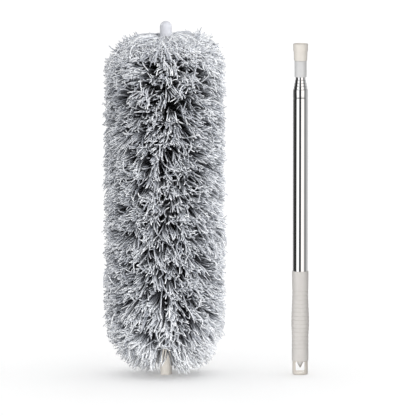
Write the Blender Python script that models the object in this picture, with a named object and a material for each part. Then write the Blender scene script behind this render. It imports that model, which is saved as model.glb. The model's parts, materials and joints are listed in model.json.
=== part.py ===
"""A microfibre duster that comes apart in two: a telescopic steel pole with a hang loop, and the
bendable pile head that plugs onto it. Both stand on the floor beside each other.
Lengths are in metres, +Z is up, and the origin is on the floor under the middle of the pair."""
import math

import bmesh
import bpy
from mathutils import Matrix, Vector

# Fits shared by all the pieces
SIDES = 24
CORE_SIDES = 16
RUN_CLEARANCE = 0.0001
SEAT_GAP = 0.0003
TURN_CLEARANCE = 0.0003
OVERRUN = 0.002
MERGE_DISTANCE = 0.000001

# How far apart the pole and the head stand
AXIS_SPACING = 0.1725

# Hang loop: a round beige moulding with a window through it and a disc on top that swivels
LOOP_DIAMETER = 0.0195
LOOP_HEIGHT = 0.0172
LOOP_WINDOW_WIDTH = 0.0118
LOOP_BAR_HEIGHT = 0.0043
LOOP_CORNER = 0.0018
WINDOW_CORNER = 0.0013
LOOP_DISC_HEIGHT = 0.003
LOOP_HOLE_DIAMETER = 0.0052

# End plug: closes the outer tube, its split cone snaps through the loop's disc
CONE_DIAMETER = 0.008
CONE_HEIGHT = 0.008
CONE_RIM_HEIGHT = 0.0013
CONE_TIP_DIAMETER = 0.0018
CONE_SLOT_WIDTH = 0.001
PLUG_FLANGE_HEIGHT = 0.0015
PLUG_BODY_HEIGHT = 0.0135
PLUG_WALL = 0.0018

# Telescopic tubes, the outer one first
TUBE_COUNT = 5
OUTER_DIAMETER = 0.019
OUTER_LENGTH = 0.3467
OUTER_WALL = 0.0006
INNER_WALL = 0.0004
NEST_GAP = 0.00035
TUBE_STEP = 0.004
BEAD_DROP = 0.012
BEAD_HALF_HEIGHT = 0.001
SHOULDER_HEIGHT = 0.003
RIM_WALL = 0.0002

# Bushes: each closes the foot of an inner tube and runs in the tube around it
BUSH_FLANGE_HEIGHT = 0.0055
BUSH_SPIGOT_HEIGHT = 0.0042
BUSH_WALL = 0.0012

# Grip: an off-white sleeve over the foot of the outer tube
GRIP_LENGTH = 0.1165
GRIP_END_DIAMETER = 0.0212
GRIP_BULGE_DIAMETER = 0.0227
GRIP_WAIST_DIAMETER = 0.0206
GRIP_EDGE = 0.0006
GRIP_GROOVE_COUNT = 15
GRIP_GROOVE_START = 0.0169
GRIP_GROOVE_PITCH = 0.00529
GRIP_GROOVE_WIDTH = 0.0014
GRIP_GROOVE_DEPTH = 0.0003
GRIP_STATION_SHARES = (0.24, 0.42, 0.74)

# Pole connector: the white moulding on the innermost tube, and the collar that turns on it
SLEEVE_DIAMETER = 0.0154
SLEEVE_LIFT = 0.0035
SLEEVE_HEIGHT = 0.0207
SLEEVE_EDGE = 0.0005
SOCKET_DEPTH = 0.0168
NECK_DIAMETER = 0.013
SNAP_RIM_HEIGHT = 0.0012
SNAP_RIM_GRIP = 0.0003
CORE_HOLE_DIAMETER = 0.009
CORE_HOLE_DEPTH = 0.0045
COLLAR_HEIGHT = 0.0219
COLLAR_FLANGE_HEIGHT = 0.0024
COLLAR_FOOT_DIAMETER = 0.017
COLLAR_STEP_DIAMETER = 0.0176
COLLAR_BAND_DIAMETER = 0.0187
COLLAR_TOP_DIAMETER = 0.0191
COLLAR_BAND_HEIGHT = 0.0094
COLLAR_EDGE = 0.0007

# Head stub and cap: the two mouldings at the ends of the bendable core
STUB_DIAMETER = 0.0149
STUB_LENGTH = 0.034
STUB_SEAT_DEPTH = 0.0115
STUB_EDGE = 0.0008
CAP_DIAMETER = 0.0153
CAP_SKIRT_HEIGHT = 0.01335
CAP_ROOF = 0.0027
DOME_STEPS = 5

# Bendable core: a plastic tube on a steel wire, in slices that turn at three bends
CORE_DIAMETER = 0.012
CORE_CUTBACK = 0.0035
WIRE_DIAMETER = 0.0035
WIRE_GAP = 0.0006
WIRE_DOME_STEPS = 2
BEND_COUNT = 3
FIRST_BEND = 0.135
BEND_PITCH = 0.1
CORE_TOP = 0.446

# Pile: locks of microfibre sewn to a fabric sleeve over the core
PILE_DIAMETER = 0.16
BACKING_DIAMETER = 0.015
PILE_FOOT = 0.006
PILE_TOP = 0.441
PILE_END_WIDTH = 0.05
PILE_FOOT_CURVE = 0.06
PILE_TOP_CURVE = 0.043
PILE_ROWS = 8
LOCK_DEPTH = 0.0088
LOCK_SAG = 0.002
LOCK_WIDTH_SHARE = 0.42
LOCK_BELLY_SHARE = 0.72
TIP_FAN_SHARE = 0.175
OUTLINE_STEPS = 12

# Places on the pole, from the floor up
LOOP_TOP = LOOP_HEIGHT + LOOP_DISC_HEIGHT
GRIP_FOOT = LOOP_HEIGHT + SEAT_GAP
PLUG_FLANGE_FOOT = LOOP_TOP + SEAT_GAP
PLUG_SHOULDER = PLUG_FLANGE_FOOT + PLUG_FLANGE_HEIGHT
PLUG_TOP = PLUG_SHOULDER + PLUG_BODY_HEIGHT
OUTER_FOOT = PLUG_SHOULDER + SEAT_GAP
OUTER_TOP = OUTER_FOOT + OUTER_LENGTH
LAST_STEP_TOP = OUTER_TOP + TUBE_STEP * (TUBE_COUNT - 2)
SLEEVE_FOOT = LAST_STEP_TOP + SLEEVE_LIFT
SLEEVE_TOP = SLEEVE_FOOT + SLEEVE_HEIGHT
COLLAR_FOOT = SLEEVE_TOP + SEAT_GAP

# Places across and along the pair
POLE_X = (PILE_DIAMETER / 2 - GRIP_BULGE_DIAMETER / 2 + AXIS_SPACING) / 2
HEAD_X = POLE_X - AXIS_SPACING
BENDS = [FIRST_BEND + BEND_PITCH * step for step in range(BEND_COUNT)]
CAP_FOOT = CORE_TOP + SEAT_GAP + CAP_ROOF - CAP_SKIRT_HEIGHT


def plastic(name, colour, roughness):
    return finish(name, colour, roughness, 0)


def finish(name, colour, roughness, metallic):
    """A material with one Principled shader."""
    material = bpy.data.materials.new(name)
    material.use_nodes = True
    shader = material.node_tree.nodes["Principled BSDF"]
    shader.inputs["Base Color"].default_value = (*colour, 1)
    shader.inputs["Roughness"].default_value = roughness
    shader.inputs["Metallic"].default_value = metallic
    return material


def frame_at(name, place, parent=None):
    """An empty on a joint's axis. The pieces of one moving body hang from it."""
    empty = bpy.data.objects.new(name, None)
    bpy.context.scene.collection.objects.link(empty)
    empty["place"] = place
    empty.location = Vector(place)
    if parent:
        empty.parent = parent
        empty.location = Vector(place) - Vector(parent["place"])
    return empty


def add_piece(name, bm, material, frame, axis_x):
    """Turn a bmesh, modelled about the upright axis at axis_x, into a named object of a body."""
    mesh = bpy.data.meshes.new(name)
    bm.to_mesh(mesh)
    bm.free()
    mesh.shade_smooth()
    mesh.set_sharp_from_angle(angle=math.radians(35))
    mesh.materials.append(material)
    piece = bpy.data.objects.new(name, mesh)
    bpy.context.scene.collection.objects.link(piece)
    piece.parent = frame
    piece.location = Vector((axis_x, 0, 0)) - Vector(frame["place"])
    return piece


def turned_mesh(outline, sides):
    """Spin an outline of (radius, height) points about Z. It is closed where it leaves the axis."""
    bm = bmesh.new()
    verts = [bm.verts.new((radius, 0, height)) for radius, height in outline]
    edges = [bm.edges.new(pair) for pair in zip(verts, verts[1:])]
    if outline[0][0] > 0:
        edges.append(bm.edges.new((verts[-1], verts[0])))
    bmesh.ops.spin(bm, geom=verts + edges, cent=(0, 0, 0), axis=(0, 0, 1),
                   angle=2 * math.pi, steps=sides, use_merge=True)
    bmesh.ops.remove_doubles(bm, verts=bm.verts, dist=MERGE_DISTANCE)
    bmesh.ops.recalc_face_normals(bm, faces=bm.faces)
    return bm


def turned(name, outline, material, frame, axis_x, sides=SIDES):
    return add_piece(name, turned_mesh(outline, sides), material, frame, axis_x)


def arc(radius_at, height_at, radius, start, end, steps):
    """Points on a round corner of an outline, from one angle to another in degrees."""
    angles = [math.radians(start + (end - start) * step / steps) for step in range(steps + 1)]
    return [(radius_at + radius * math.cos(a), height_at + radius * math.sin(a)) for a in angles]


def cut(piece, cutter_mesh, name):
    """Take a cutter, modelled in the piece's own frame, out of a piece."""
    mesh = bpy.data.meshes.new(name)
    cutter_mesh.to_mesh(mesh)
    cutter_mesh.free()
    cutter = bpy.data.objects.new(name, mesh)
    bpy.context.scene.collection.objects.link(cutter)
    cutter.parent = piece
    cutter.hide_render = True
    cutter.display_type = "WIRE"
    boolean = piece.modifiers.new(name, "BOOLEAN")
    boolean.operation = "DIFFERENCE"
    boolean.solver = "EXACT"
    boolean.object = cutter


def block(size, centre):
    """A box cutter."""
    bm = bmesh.new()
    bmesh.ops.create_cube(bm, size=1)
    bmesh.ops.scale(bm, vec=size, verts=bm.verts)
    bmesh.ops.translate(bm, vec=centre, verts=bm.verts)
    return bm


def bore_radius(number):
    """The bore of a tube, counted from the outer one."""
    wall = OUTER_WALL if number == 0 else INNER_WALL
    return tube_radius(number) - wall


def tube_radius(number):
    """The outside of a tube, counted from the outer one."""
    if number == 0:
        return OUTER_DIAMETER / 2
    return bore_radius(number - 1) - NEST_GAP


def bush_foot(number):
    """Where an inner tube's bush rests with the pole closed: on the plug, or on the bush below."""
    stack = BUSH_FLANGE_HEIGHT + BUSH_SPIGOT_HEIGHT + SEAT_GAP
    return PLUG_TOP + SEAT_GAP + stack * (number - 1)


def tube_foot(number):
    if number == 0:
        return OUTER_FOOT
    return bush_foot(number) + BUSH_FLANGE_HEIGHT + SEAT_GAP


def tube_top(number):
    """Each tube stands a step above the one around it. The last ends inside the connector."""
    if number == TUBE_COUNT - 1:
        return SLEEVE_FOOT + SOCKET_DEPTH - SEAT_GAP
    return OUTER_TOP + TUBE_STEP * number


def tube_travel(number):
    """How far an inner tube slides out before its bush meets the bead of the tube around it."""
    bead_foot = tube_top(number - 1) - BEAD_DROP - BEAD_HALF_HEIGHT
    return bead_foot - SEAT_GAP - (bush_foot(number) + BUSH_FLANGE_HEIGHT)


def make_tube(number, steel, frame):
    """A steel tube with a rolled-in rim and, below it, the bead that stops the bush inside."""
    outside, bore = tube_radius(number), bore_radius(number)
    foot, top = tube_foot(number), tube_top(number)
    name = "outer_tube" if number == 0 else f"tube_{number + 1}"
    if number == TUBE_COUNT - 1:
        outline = [(outside, foot), (outside, top), (bore, top), (bore, foot)]
        return turned(name, outline, steel, frame, POLE_X)
    depth = NEST_GAP - RUN_CLEARANCE
    bead = top - BEAD_DROP
    rim = bore - depth
    shoulder = top - SHOULDER_HEIGHT
    roll = outside - rim - RIM_WALL
    outline = [(outside, foot), (outside, bead - BEAD_HALF_HEIGHT), (outside - depth, bead),
               (outside, bead + BEAD_HALF_HEIGHT)]
    for step in range(4):
        turn = math.radians(90 * step / 3)
        outline.append((outside - roll * (1 - math.cos(turn)), shoulder + SHOULDER_HEIGHT * math.sin(turn)))
    outline += [(rim, top), (rim, top - SHOULDER_HEIGHT / 3), (bore, shoulder),
                (bore, bead + BEAD_HALF_HEIGHT), (bore - depth, bead), (bore, bead - BEAD_HALF_HEIGHT),
                (bore, foot)]
    return turned(name, outline, steel, frame, POLE_X)


def make_bush(number, white, frame):
    """A plastic cup: its flange runs in the tube around it and its spigot plugs its own tube."""
    flange = bore_radius(number - 1) - RUN_CLEARANCE
    spigot = bore_radius(number) - RUN_CLEARANCE
    hollow = spigot - BUSH_WALL
    foot = bush_foot(number)
    flange_top = foot + BUSH_FLANGE_HEIGHT
    top = flange_top + BUSH_SPIGOT_HEIGHT
    outline = [(0, top - BUSH_WALL), (hollow, top - BUSH_WALL), (hollow, foot), (flange, foot),
               (flange, flange_top), (spigot, flange_top), (spigot, top), (0, top)]
    turned(f"bush_{number + 1}", outline, white, frame, POLE_X)


def make_end_plug(white, frame):
    """The plug in the foot of the outer tube, with its split cone below the loop's disc."""
    stem = LOOP_HOLE_DIAMETER / 2 - TURN_CLEARANCE
    cone = CONE_DIAMETER / 2
    cone_top = LOOP_HEIGHT - SEAT_GAP
    flange = OUTER_DIAMETER / 2 + RUN_CLEARANCE - TURN_CLEARANCE
    body = bore_radius(0) - RUN_CLEARANCE
    hollow = body - PLUG_WALL
    outline = [(0, cone_top - CONE_HEIGHT), (CONE_TIP_DIAMETER / 2, cone_top - CONE_HEIGHT),
               (cone, cone_top - CONE_RIM_HEIGHT), (cone, cone_top), (stem, cone_top),
               (stem, PLUG_FLANGE_FOOT), (flange, PLUG_FLANGE_FOOT), (flange, PLUG_SHOULDER),
               (body, PLUG_SHOULDER), (body, PLUG_TOP), (hollow, PLUG_TOP),
               (hollow, PLUG_SHOULDER), (0, PLUG_SHOULDER)]
    plug = turned("end_plug", outline, white, frame, POLE_X)
    slot_foot = cone_top - CONE_HEIGHT - OVERRUN
    slot_top = LOOP_TOP - LOOP_DISC_HEIGHT / 2
    slot = block((CONE_SLOT_WIDTH, CONE_DIAMETER + OVERRUN, slot_top - slot_foot),
                 (0, 0, (slot_top + slot_foot) / 2))
    cut(plug, slot, "cone_slot")


def make_hang_loop(beige, frame):
    """The swivelling loop: a turned barrel and disc, with a round-cornered window through it."""
    outside = LOOP_DIAMETER / 2
    disc = OUTER_DIAMETER / 2 + RUN_CLEARANCE - TURN_CLEARANCE
    hole = LOOP_HOLE_DIAMETER / 2
    window_middle = (LOOP_BAR_HEIGHT + LOOP_HEIGHT) / 2
    outline = [(0, 0)]
    outline += arc(outside - LOOP_CORNER, LOOP_CORNER, LOOP_CORNER, -90, 0, 3)
    outline += [(outside, LOOP_HEIGHT), (disc, LOOP_HEIGHT), (disc, LOOP_TOP), (hole, LOOP_TOP),
                (hole, window_middle), (0, window_middle)]
    loop = turned("hang_loop", outline, beige, frame, POLE_X)
    height = LOOP_HEIGHT - LOOP_BAR_HEIGHT
    window = block((LOOP_WINDOW_WIDTH, LOOP_DIAMETER + OVERRUN, height), (0, 0, window_middle))
    corners = [edge for edge in window.edges if abs(edge.verts[0].co.y - edge.verts[1].co.y) > height]
    bmesh.ops.bevel(window, geom=corners, offset=WINDOW_CORNER, offset_type="OFFSET",
                    affect="EDGES", segments=3, profile=0.5, material=-1)
    cut(loop, window, "loop_window")


def grip_radius(height):
    """The grip's outline: straight at its foot, a bulge for the palm, a waist, and a flared top."""
    ends, bulge, waist = GRIP_END_DIAMETER / 2, GRIP_BULGE_DIAMETER / 2, GRIP_WAIST_DIAMETER / 2
    low, middle, high = (GRIP_LENGTH * share for share in GRIP_STATION_SHARES)
    stations = [(0, ends), (low, ends), (middle, bulge), (high, waist), (GRIP_LENGTH, ends)]
    for (z0, r0), (z1, r1) in zip(stations, stations[1:]):
        if height <= z1:
            ease = (1 - math.cos(math.pi * (height - z0) / (z1 - z0))) / 2
            return r0 + (r1 - r0) * ease
    return ends


def make_grip(cream, frame):
    """A moulded sleeve with fine ring grooves round its waist and bulge."""
    bore = OUTER_DIAMETER / 2 + RUN_CLEARANCE
    heights = [GRIP_EDGE]
    dips = {}
    for number in range(GRIP_GROOVE_COUNT):
        middle = GRIP_GROOVE_START + GRIP_GROOVE_PITCH * number
        heights += [middle - GRIP_GROOVE_WIDTH / 2, middle, middle + GRIP_GROOVE_WIDTH / 2]
        dips[middle] = GRIP_GROOVE_DEPTH
    heights.append(GRIP_LENGTH - GRIP_EDGE)
    foot_radius, top_radius = grip_radius(0) - GRIP_EDGE, grip_radius(GRIP_LENGTH) - GRIP_EDGE
    outline = [(bore, GRIP_FOOT), (foot_radius, GRIP_FOOT)]
    outline += [(grip_radius(z) - dips.get(z, 0), GRIP_FOOT + z) for z in heights]
    outline += [(top_radius, GRIP_FOOT + GRIP_LENGTH), (bore, GRIP_FOOT + GRIP_LENGTH)]
    turned("grip_sleeve", outline, cream, frame, POLE_X)


def make_connector(white, frame):
    """The white moulding on the innermost tube: a sleeve, then a neck and the rim it snaps in by."""
    sleeve, neck, hole = SLEEVE_DIAMETER / 2, NECK_DIAMETER / 2, CORE_HOLE_DIAMETER / 2
    socket = tube_radius(TUBE_COUNT - 1) + RUN_CLEARANCE
    rim = neck + TURN_CLEARANCE + SNAP_RIM_GRIP
    rim_foot = COLLAR_FOOT + COLLAR_FLANGE_HEIGHT + SEAT_GAP
    rim_top = rim_foot + SNAP_RIM_HEIGHT
    outline = [(0, SLEEVE_FOOT + SOCKET_DEPTH), (socket, SLEEVE_FOOT + SOCKET_DEPTH), (socket, SLEEVE_FOOT),
               (sleeve - SLEEVE_EDGE, SLEEVE_FOOT), (sleeve, SLEEVE_FOOT + SLEEVE_EDGE), (sleeve, SLEEVE_TOP),
               (neck, SLEEVE_TOP), (neck, rim_foot), (rim, rim_foot), (neck, rim_top), (hole, rim_top),
               (hole, rim_top - CORE_HOLE_DEPTH), (0, rim_top - CORE_HOLE_DEPTH)]
    turned("pole_connector", outline, white, frame, POLE_X)


def make_collar(beige, frame):
    """The two-tier collar that turns on the connector's neck. Its bore is the head's socket."""
    foot, step = COLLAR_FOOT_DIAMETER / 2, COLLAR_STEP_DIAMETER / 2
    band, head = COLLAR_BAND_DIAMETER / 2, COLLAR_TOP_DIAMETER / 2
    hole = NECK_DIAMETER / 2 + TURN_CLEARANCE
    bore = STUB_DIAMETER / 2 + TURN_CLEARANCE
    top = COLLAR_FOOT + COLLAR_HEIGHT
    band_foot = top - COLLAR_BAND_HEIGHT
    outline = [(hole, COLLAR_FOOT), (foot - COLLAR_EDGE, COLLAR_FOOT), (foot, COLLAR_FOOT + COLLAR_EDGE),
               (step, band_foot - COLLAR_EDGE), (band, band_foot)]
    outline += arc(head - COLLAR_EDGE, top - COLLAR_EDGE, COLLAR_EDGE, 0, 90, 3)
    outline += [(bore + COLLAR_EDGE / 2, top), (bore, top - COLLAR_EDGE),
                (bore, COLLAR_FOOT + COLLAR_FLANGE_HEIGHT), (hole, COLLAR_FOOT + COLLAR_FLANGE_HEIGHT)]
    turned("lock_collar", outline, beige, frame, POLE_X)


def make_stub(beige, frame):
    """The beige stub that goes into the collar. The foot of the core sits in its top."""
    outside = STUB_DIAMETER / 2
    seat = CORE_DIAMETER / 2 + RUN_CLEARANCE
    floor = STUB_LENGTH - STUB_SEAT_DEPTH
    outline = [(0, 0)]
    outline += arc(outside - STUB_EDGE, STUB_EDGE, STUB_EDGE, -90, 0, 2)
    outline += [(outside, STUB_LENGTH - STUB_EDGE), (outside - STUB_EDGE, STUB_LENGTH),
                (seat, STUB_LENGTH), (seat, floor), (0, floor)]
    turned("head_stub", outline, beige, frame, HEAD_X)


def make_cap(white, frame):
    """The white domed cap that keeps the end of the core from scratching."""
    outside = CAP_DIAMETER / 2
    seat = CORE_DIAMETER / 2 + RUN_CLEARANCE
    skirt_top = CAP_FOOT + CAP_SKIRT_HEIGHT
    roof = CORE_TOP + SEAT_GAP
    outline = [(0, roof), (seat, roof), (seat, CAP_FOOT), (outside, CAP_FOOT)]
    outline += arc(0, skirt_top, outside, 0, 90, DOME_STEPS)[:-1]
    outline.append((0, skirt_top + outside))
    turned("head_cap", outline, white, frame, HEAD_X)


def slice_ends(number):
    """The bends below and above a slice of the core, or its end in the stub or the cap."""
    floor = STUB_LENGTH - STUB_SEAT_DEPTH + SEAT_GAP
    low = floor if number == 0 else BENDS[number - 1]
    high = CORE_TOP if number == BEND_COUNT else BENDS[number]
    return low, high


def make_core_slice(number, tube_white, wire_steel, frame):
    """One slice of the plastic tube and of the steel wire in it. The wire's ends meet at the bend."""
    low, high = slice_ends(number)
    outside, wire = CORE_DIAMETER / 2, WIRE_DIAMETER / 2
    bore = wire + SEAT_GAP
    first, last = number == 0, number == BEND_COUNT
    foot = low if first else low + CORE_CUTBACK
    top = high if last else high - CORE_CUTBACK
    tube = [(outside, foot), (outside, top), (bore, top), (bore, foot)]
    turned(f"core_tube_{number + 1}", tube, tube_white, frame, HEAD_X, CORE_SIDES)
    dome = wire + WIRE_GAP / 2
    rod = [(0, low), (wire, low)] if first else [(0, low + WIRE_GAP / 2)]
    if not first:
        rod += arc(0, low + dome, wire, -90, 0, WIRE_DOME_STEPS)[1:]
    if last:
        rod += [(wire, high), (0, high)]
    else:
        rod += arc(0, high - dome, wire, 0, 90, WIRE_DOME_STEPS)[:-1] + [(0, high - WIRE_GAP / 2)]
    turned(f"core_wire_{number + 1}", rod, wire_steel, frame, HEAD_X, CORE_SIDES)


def pile_outline():
    """The curve that the lock tips reach, from the foot of the pile to its top."""
    reach = PILE_DIAMETER / 2
    inner = reach - PILE_END_WIDTH
    turns = [math.radians(90 * step / OUTLINE_STEPS) for step in range(OUTLINE_STEPS + 1)]
    foot = [(inner + PILE_END_WIDTH * math.sin(a), PILE_FOOT + PILE_FOOT_CURVE * (1 - math.cos(a)))
            for a in turns]
    top = [(inner + PILE_END_WIDTH * math.cos(a), PILE_TOP - PILE_TOP_CURVE * (1 - math.sin(a)))
           for a in turns]
    return foot + top


def along(points, share):
    """The point at a share of the length of a curve given by points."""
    lengths = [math.dist(a, b) for a, b in zip(points, points[1:])]
    left = share * sum(lengths)
    for start, end, length in zip(points, points[1:], lengths):
        if left <= length:
            return tuple(p + (q - p) * left / length for p, q in zip(start, end))
        left -= length
    return points[-1]


def grow_lock(bm, face, tip, sag):
    """Draw one lock out of a face of the sleeve: a belly that carries most of it, then a point."""
    centre = face.calc_center_median()
    out = Vector((centre.x, centre.y, 0)).normalized()
    aside = Vector((-out.y, out.x, 0))
    tip_place = out * tip[0] + Vector((0, 0, tip[1]))
    run = tip_place - centre
    across = aside.cross(run).normalized()
    if across.z < 0:
        across.negate()
    belly = centre + run * LOCK_BELLY_SHARE + across * sag
    pitch = 2 * math.pi * belly.dot(out) / (SIDES / 2)
    grown = bmesh.ops.extrude_discrete_faces(bm, faces=[face])["faces"][0]
    for vert in grown.verts:
        offset = vert.co - centre
        side = math.copysign(pitch * LOCK_WIDTH_SHARE / 2, offset.dot(aside))
        rise = math.copysign(LOCK_DEPTH / 2, offset.z)
        vert.co = belly + aside * side + across * rise
    point = bmesh.ops.poke(bm, faces=[grown])["verts"][0]
    point.co = tip_place


def make_pile_slice(number, fibre, frame):
    """A slice of the fabric sleeve with its locks, one on every other face of a fine grid."""
    first, last = number == 0, number == BEND_COUNT
    sleeve_foot, sleeve_top = STUB_LENGTH + SEAT_GAP, CAP_FOOT - SEAT_GAP
    foot = sleeve_foot if first else BENDS[number - 1] + SEAT_GAP / 2
    top = sleeve_top if last else BENDS[number] - SEAT_GAP / 2
    outside, inside = BACKING_DIAMETER / 2, CORE_DIAMETER / 2 + SEAT_GAP
    rows = [foot + (top - foot) * row / PILE_ROWS for row in range(PILE_ROWS + 1)]
    outline = [(outside, height) for height in rows] + [(inside, top), (inside, foot)]
    bm = turned_mesh(outline, SIDES)
    half_column = Matrix.Rotation(math.pi / SIDES, 3, "Z")
    bmesh.ops.rotate(bm, cent=(0, 0, 0), matrix=half_column, verts=bm.verts)
    bm.normal_update()
    curve = pile_outline()
    row_height = (top - foot) / PILE_ROWS
    sleeve_faces = [face for face in bm.faces
                    if abs(face.normal.z) < 0.5 and face.normal.dot(face.calc_center_median()) > 0
                    and face.calc_center_median().to_2d().length > (outside + inside) / 2]
    for face in sleeve_faces:
        centre = face.calc_center_median()
        row = int((centre.z - foot) / row_height)
        column = round(math.atan2(centre.y, centre.x) / (2 * math.pi / SIDES))
        if (row + column) % 2:
            continue
        along_share = (centre.z - sleeve_foot) / (sleeve_top - sleeve_foot)
        fan_share = along_share + TIP_FAN_SHARE * math.sin(2 * math.pi * along_share) / (2 * math.pi)
        sag = LOCK_SAG if row % 2 else -LOCK_SAG
        grow_lock(bm, face, along(curve, fan_share), sag)
    add_piece(f"pile_{number + 1}", bm, fibre, frame, HEAD_X)


def make_pole():
    """Everything that stays on the pole."""
    steel = finish("polished_steel", (0.62, 0.62, 0.62), 0.12, 1)
    cream = plastic("cream_grip", (0.66, 0.63, 0.6), 0.5)
    beige = plastic("beige_moulding", (0.72, 0.67, 0.6), 0.4)
    white = plastic("white_moulding", (0.68, 0.67, 0.66), 0.4)
    place = (POLE_X, 0, 0)
    handle = frame_at("handle_frame", place)
    make_hang_loop(beige, frame_at("loop_frame", place, handle))
    make_end_plug(white, handle)
    make_grip(cream, handle)
    make_tube(0, steel, handle)
    frame = handle
    for number in range(1, TUBE_COUNT):
        frame = frame_at(f"tube_{number + 1}_frame", place, frame)
        make_tube(number, steel, frame)
        make_bush(number, white, frame)
        print(f"tube_{number + 1} slides {tube_travel(number):.4f} m")
    make_connector(white, frame)
    make_collar(beige, frame_at("collar_frame", place, frame))


def make_head():
    """The head: four slices that turn at three bends, with the stub below and the cap above."""
    beige = plastic("beige_stub", (0.67, 0.62, 0.56), 0.4)
    white = plastic("white_cap", (0.78, 0.79, 0.82), 0.35)
    core_white = plastic("core_plastic", (0.7, 0.7, 0.7), 0.5)
    wire_steel = finish("wire_steel", (0.5, 0.5, 0.5), 0.35, 1)
    fibre = plastic("grey_microfibre", (0.4, 0.41, 0.44), 0.9)
    frame = frame_at("head_frame", (HEAD_X, 0, 0))
    make_stub(beige, frame)
    for number in range(BEND_COUNT + 1):
        if number:
            frame = frame_at(f"bend_{number}_frame", (HEAD_X, 0, BENDS[number - 1]), frame)
        make_core_slice(number, core_white, wire_steel, frame)
        make_pile_slice(number, fibre, frame)
    make_cap(white, frame)


def clear_scene():
    for item in list(bpy.data.objects):
        bpy.data.objects.remove(item)


clear_scene()
make_pole()
make_head()
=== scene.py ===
import json
import math

import bmesh
import bpy
import numpy as np
from mathutils import Matrix, Vector

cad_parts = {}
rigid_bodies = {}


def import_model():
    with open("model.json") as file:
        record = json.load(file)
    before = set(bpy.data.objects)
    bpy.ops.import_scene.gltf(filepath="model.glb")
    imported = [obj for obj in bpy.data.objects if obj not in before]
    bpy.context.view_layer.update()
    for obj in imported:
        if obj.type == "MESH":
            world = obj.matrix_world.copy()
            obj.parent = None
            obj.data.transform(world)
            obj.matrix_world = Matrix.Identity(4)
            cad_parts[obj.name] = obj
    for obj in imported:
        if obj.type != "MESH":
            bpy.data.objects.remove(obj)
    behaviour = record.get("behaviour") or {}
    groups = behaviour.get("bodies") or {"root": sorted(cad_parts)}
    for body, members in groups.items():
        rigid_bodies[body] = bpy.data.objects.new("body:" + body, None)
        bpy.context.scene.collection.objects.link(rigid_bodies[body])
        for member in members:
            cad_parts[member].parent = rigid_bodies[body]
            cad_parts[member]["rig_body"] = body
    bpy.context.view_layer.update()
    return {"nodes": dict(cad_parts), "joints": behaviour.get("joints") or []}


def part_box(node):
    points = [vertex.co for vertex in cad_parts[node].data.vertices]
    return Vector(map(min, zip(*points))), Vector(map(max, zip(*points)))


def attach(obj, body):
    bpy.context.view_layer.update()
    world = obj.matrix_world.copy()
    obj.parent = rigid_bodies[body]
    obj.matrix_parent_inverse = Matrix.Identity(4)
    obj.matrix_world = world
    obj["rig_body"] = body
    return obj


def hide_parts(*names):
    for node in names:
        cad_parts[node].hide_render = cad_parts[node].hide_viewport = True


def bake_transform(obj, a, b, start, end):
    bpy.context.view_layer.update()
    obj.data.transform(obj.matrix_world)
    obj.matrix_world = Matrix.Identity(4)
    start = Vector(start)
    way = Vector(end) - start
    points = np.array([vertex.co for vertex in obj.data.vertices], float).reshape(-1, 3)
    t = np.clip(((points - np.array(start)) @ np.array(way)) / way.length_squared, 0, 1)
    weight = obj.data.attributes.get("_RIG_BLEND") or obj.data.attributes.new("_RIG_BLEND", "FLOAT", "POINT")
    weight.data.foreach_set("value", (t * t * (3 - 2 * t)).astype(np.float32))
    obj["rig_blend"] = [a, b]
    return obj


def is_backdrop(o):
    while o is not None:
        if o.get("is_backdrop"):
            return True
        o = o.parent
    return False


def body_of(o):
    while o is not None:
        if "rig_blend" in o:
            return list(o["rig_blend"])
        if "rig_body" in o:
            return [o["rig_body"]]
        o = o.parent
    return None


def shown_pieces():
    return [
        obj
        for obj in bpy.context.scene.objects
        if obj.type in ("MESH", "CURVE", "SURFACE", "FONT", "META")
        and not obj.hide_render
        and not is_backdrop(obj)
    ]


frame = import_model()


# --- The studio ---
# A white floor that runs into a white room, with soft light from all round. Strip lights and a
# dark card are there for reflections alone. The camera stands far off with a long lens.

class Signal:
    """A number carried by a node's output. Python's operators on it add Math nodes."""

    def __init__(self, nodes, socket):
        self.nodes = nodes
        self.socket = socket

    def maths(self, operation, *values):
        inputs = dict(enumerate(values))
        return self.nodes.add("ShaderNodeMath", {"operation": operation}, inputs)

    def __add__(self, other):
        return self.maths("ADD", self, other)

    def __sub__(self, other):
        return self.maths("SUBTRACT", self, other)

    def __rsub__(self, other):
        return self.maths("SUBTRACT", other, self)

    def __mul__(self, other):
        return self.maths("MULTIPLY", self, other)

    def __truediv__(self, other):
        return self.maths("DIVIDE", self, other)

    __radd__ = __add__
    __rmul__ = __mul__


class Nodes:
    """The nodes of one finish, or of the studio's air."""

    def __init__(self, tree):
        self.tree = tree

    def add(self, kind, settings=None, inputs=None, output=0):
        """Add a node with its settings first, then the values or signals of its sockets."""
        node = self.tree.nodes.new(kind)
        for name, value in (settings or {}).items():
            if name == "stops":
                self.set_stops(node.color_ramp, value)
            else:
                setattr(node, name, value)
        self.feed(node, inputs or {})
        return Signal(self, node.outputs[output])

    def set_stops(self, ramp, stops):
        while len(ramp.elements) < len(stops):
            ramp.elements.new(1)
        for element, (position, level) in zip(ramp.elements, stops):
            element.position = position
            colour = level if isinstance(level, tuple) else (level, level, level)
            element.color = (*colour, 1)

    def feed(self, node, inputs):
        for name, value in inputs.items():
            if isinstance(value, Signal):
                self.tree.links.new(value.socket, node.inputs[name])
            elif isinstance(value, tuple) and node.inputs[name].type == "RGBA":
                node.inputs[name].default_value = (*value, 1)
            else:
                node.inputs[name].default_value = value

    def mix(self, share, first, second):
        """A colour between two others."""
        return self.add("ShaderNodeMix", {"data_type": "RGBA"}, {0: share, 6: first, 7: second}, 2)


def new_material(name):
    """A material, the nodes that make it up, and the shader that they feed."""
    material = bpy.data.materials.new(name)
    material.use_nodes = True
    tree = material.node_tree
    return material, Nodes(tree), tree.nodes["Principled BSDF"]


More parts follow.
